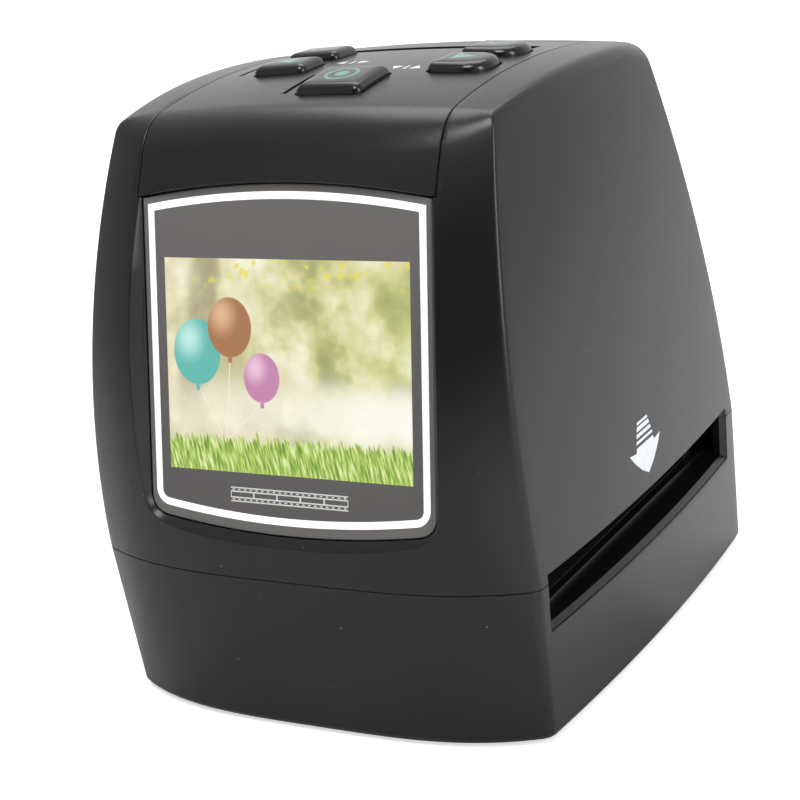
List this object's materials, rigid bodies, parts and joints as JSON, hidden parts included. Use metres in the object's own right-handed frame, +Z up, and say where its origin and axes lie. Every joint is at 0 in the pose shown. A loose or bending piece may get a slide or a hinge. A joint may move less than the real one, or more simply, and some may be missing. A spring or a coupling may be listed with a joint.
{
  "type": "film negative scanner",
  "caption": "Desk unit that scans film negatives: tapered body with a tilted display in front, push buttons on top and a slot through the base for a film holder.",
  "frame": {"origin": "under the middle of the body, at the height the feet stand on", "axes": "+Z up, the display faces -Y, +X is the right-hand side as seen from the front; the film passes along X"},
  "size_m": [0.087, 0.0924, 0.104],
  "materials": {
    "housing_black": "satin, fine grain",
    "cover_black": "satin, fine grain",
    "button_black": "semi-gloss",
    "lens_grey": "glossy smoked panel with a clear window",
    "display_black": "display stack with metal frame",
    "sheet_steel": "plain sheet",
    "inner_black": "matt, light-absorbing",
    "white_plastic": "matt reflector white",
    "opal": "opal diffuser",
    "board_green": "solder mask on glass-fibre board",
    "board_white": "white solder mask",
    "led_yellow": "phosphor in white cases",
    "glass": "polished, coated",
    "silicon": "image sensor under a cover glass",
    "chip_black": "moulded epoxy",
    "socket_steel": "stamped, tin plated",
    "socket_black": "moulded",
    "connector_cream": "moulded",
    "flex_amber": "polyimide flat cable",
    "cable_red": "ribbon of insulated wires",
    "switch_grey": "switch case with a tinned cover",
    "rubber": "matt",
    "screw_steel": "zinc plated"
  },
  "bodies": {
    "housing": {"lower_housing": "housing_black", "upper_housing": "housing_black", "top_cover": "cover_black", "lcd_window": "lens_grey", "lcd_module": "display_black", "lcd_bracket": "sheet_steel", "switch_bodies": "switch_grey", "button_board": "board_green", "film_guide_lower": "inner_black", "film_guide_upper": "inner_black", "light_box": "white_plastic", "led_board": "board_white", "leds": "led_yellow", "diffuser": "opal", "lens_tower": "inner_black", "lens_barrel": "inner_black", "lens_glass": "glass", "sensor_board": "board_green", "sensor_chip": "silicon", "main_board": "board_green", "board_chips": "chip_black", "sd_socket": "socket_steel", "usb_socket": "socket_steel", "av_socket": "socket_black", "cable_sockets": "connector_cream", "lcd_cable": "flex_amber", "sensor_cable": "flex_amber", "button_cable": "flex_amber", "led_cable": "cable_red", "rubber_feet": "rubber", "case_screws": "screw_steel", "guide_screws": "screw_steel", "board_screws": "screw_steel", "tower_screws": "screw_steel", "sensor_screws": "screw_steel", "bracket_screws": "screw_steel", "button_board_screws": "screw_steel"},
    "power": {"power_button": "button_black", "power_plunger": "inner_black"},
    "left": {"left_button": "button_black", "left_plunger": "inner_black"},
    "scan": {"scan_button": "button_black", "scan_plunger": "inner_black"},
    "right": {"right_button": "button_black", "right_plunger": "inner_black"},
    "ok": {"ok_button": "button_black", "ok_plunger": "inner_black"}
  },
  "joints": [
    {"name": "power_press", "type": "slide", "parent": "housing", "child": "power", "axis": [0, 0, -1], "range_m": [0, 0.0006], "stiffness_N_per_m": 1500, "springref_m": -0.0004},
    {"name": "left_press", "type": "slide", "parent": "housing", "child": "left", "axis": [0, 0, -1], "range_m": [0, 0.0006], "stiffness_N_per_m": 1500, "springref_m": -0.0004},
    {"name": "scan_press", "type": "slide", "parent": "housing", "child": "scan", "axis": [0, 0, -1], "range_m": [0, 0.0006], "stiffness_N_per_m": 1500, "springref_m": -0.0004},
    {"name": "right_press", "type": "slide", "parent": "housing", "child": "right", "axis": [0, 0, -1], "range_m": [0, 0.0006], "stiffness_N_per_m": 1500, "springref_m": -0.0004},
    {"name": "ok_press", "type": "slide", "parent": "housing", "child": "ok", "axis": [0, 0, -1], "range_m": [0, 0.0006], "stiffness_N_per_m": 1500, "springref_m": -0.0004}
  ]
}
